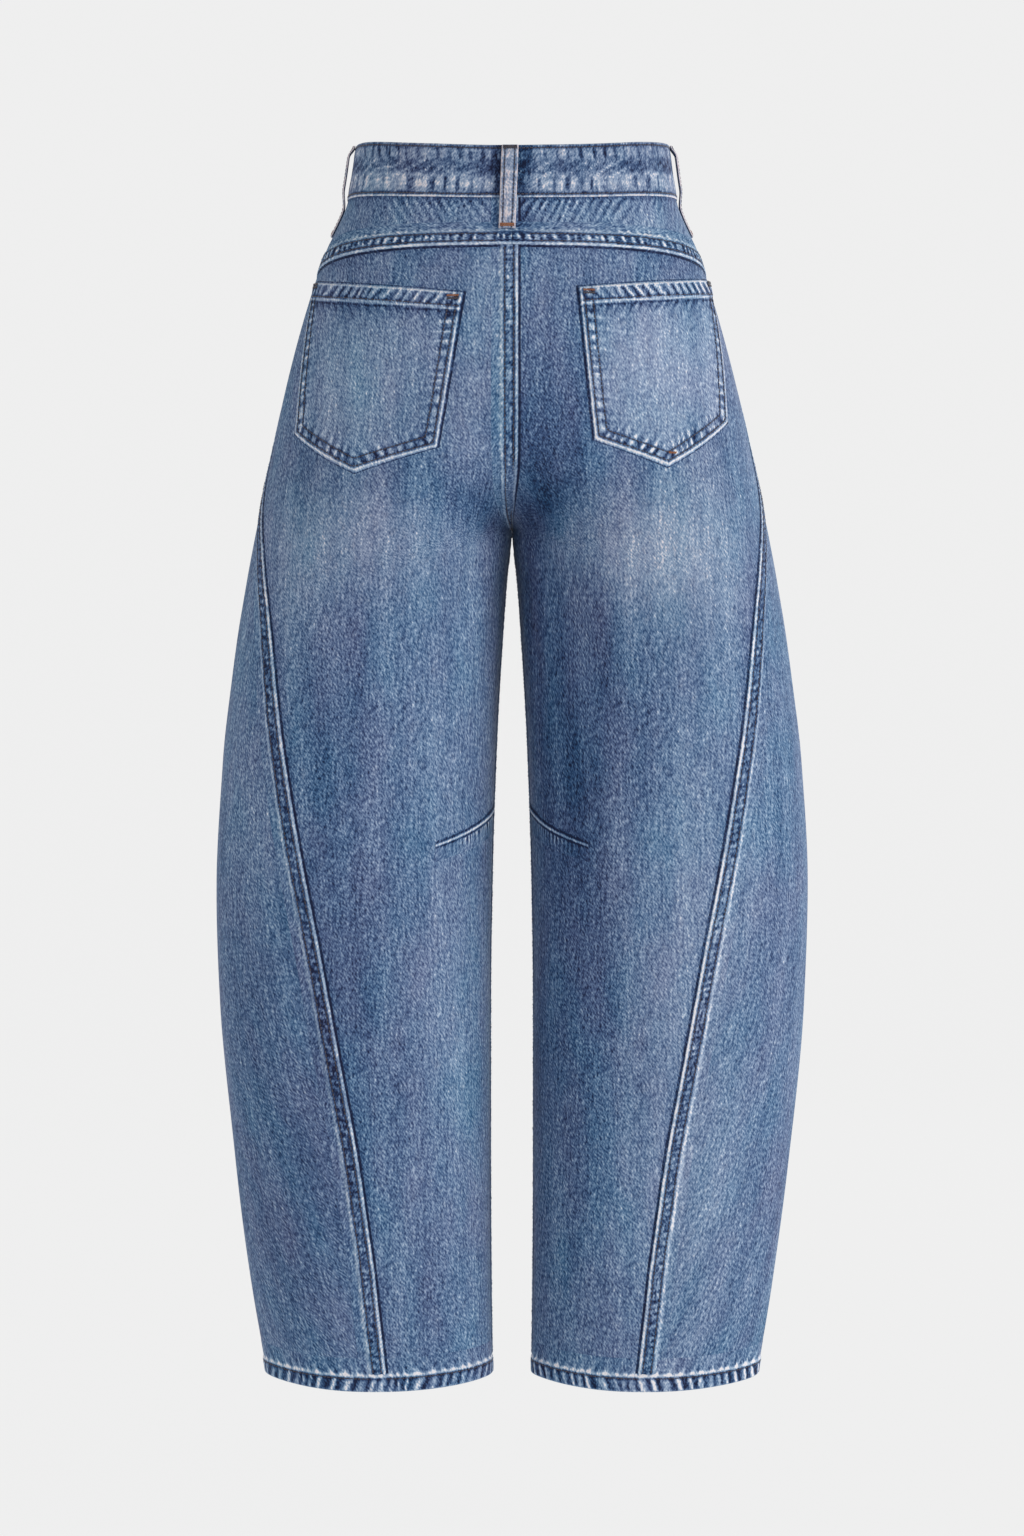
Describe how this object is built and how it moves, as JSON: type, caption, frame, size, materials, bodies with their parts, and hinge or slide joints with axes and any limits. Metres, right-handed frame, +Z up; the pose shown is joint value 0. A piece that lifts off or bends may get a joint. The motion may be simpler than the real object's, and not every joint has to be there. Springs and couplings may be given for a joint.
{
  "type": "barrel leg trousers",
  "caption": "Filled-out denim trousers with wide curved barrel legs, side seams swung to the back of the leg, a back yoke, patch back pockets and knee darts.",
  "frame": {"origin": "middle of the waist, level with the middle of the waistband at the sides, where the wearer's waist holds it", "axes": "+Z up, +Y towards the garment's front, +X towards the wearer's right; the picture shows the back, seen along +Y"},
  "size_m": [0.4726, 0.2256, 0.9863],
  "materials": {
    "denim_blue": "mid-blue washed cotton twill, matt",
    "denim_faded": "mid-blue cotton twill, faded by wear, matt",
    "thread": "dark topstitching thread, with copper bar tacks",
    "button_metal": "aged copper, satin"
  },
  "bodies": {
    "root": {"waistband": "denim_blue", "yoke_left": "denim_blue", "yoke_right": "denim_blue", "back_panel_left_seat": "denim_blue", "back_panel_left_thigh": "denim_blue", "back_panel_left_knee": "denim_blue", "back_panel_left_shin": "denim_blue", "back_panel_right_seat": "denim_blue", "back_panel_right_thigh": "denim_blue", "back_panel_right_knee": "denim_blue", "back_panel_right_shin": "denim_blue", "front_panel_left_seat": "denim_blue", "front_panel_left_thigh": "denim_blue", "front_panel_left_knee": "denim_blue", "front_panel_left_shin": "denim_blue", "front_panel_right_seat": "denim_blue", "front_panel_right_thigh": "denim_blue", "front_panel_right_knee": "denim_blue", "front_panel_right_shin": "denim_blue", "back_pocket_left": "denim_faded", "back_pocket_right": "denim_faded", "knee_dart_left": "denim_faded", "knee_dart_right": "denim_faded", "belt_loop_back": "denim_faded", "belt_loop_side_left": "denim_faded", "belt_loop_side_right": "denim_faded", "belt_loop_front_left": "denim_faded", "belt_loop_front_right": "denim_faded", "fly": "denim_blue", "waist_button": "button_metal"}
  },
  "joints": []
}
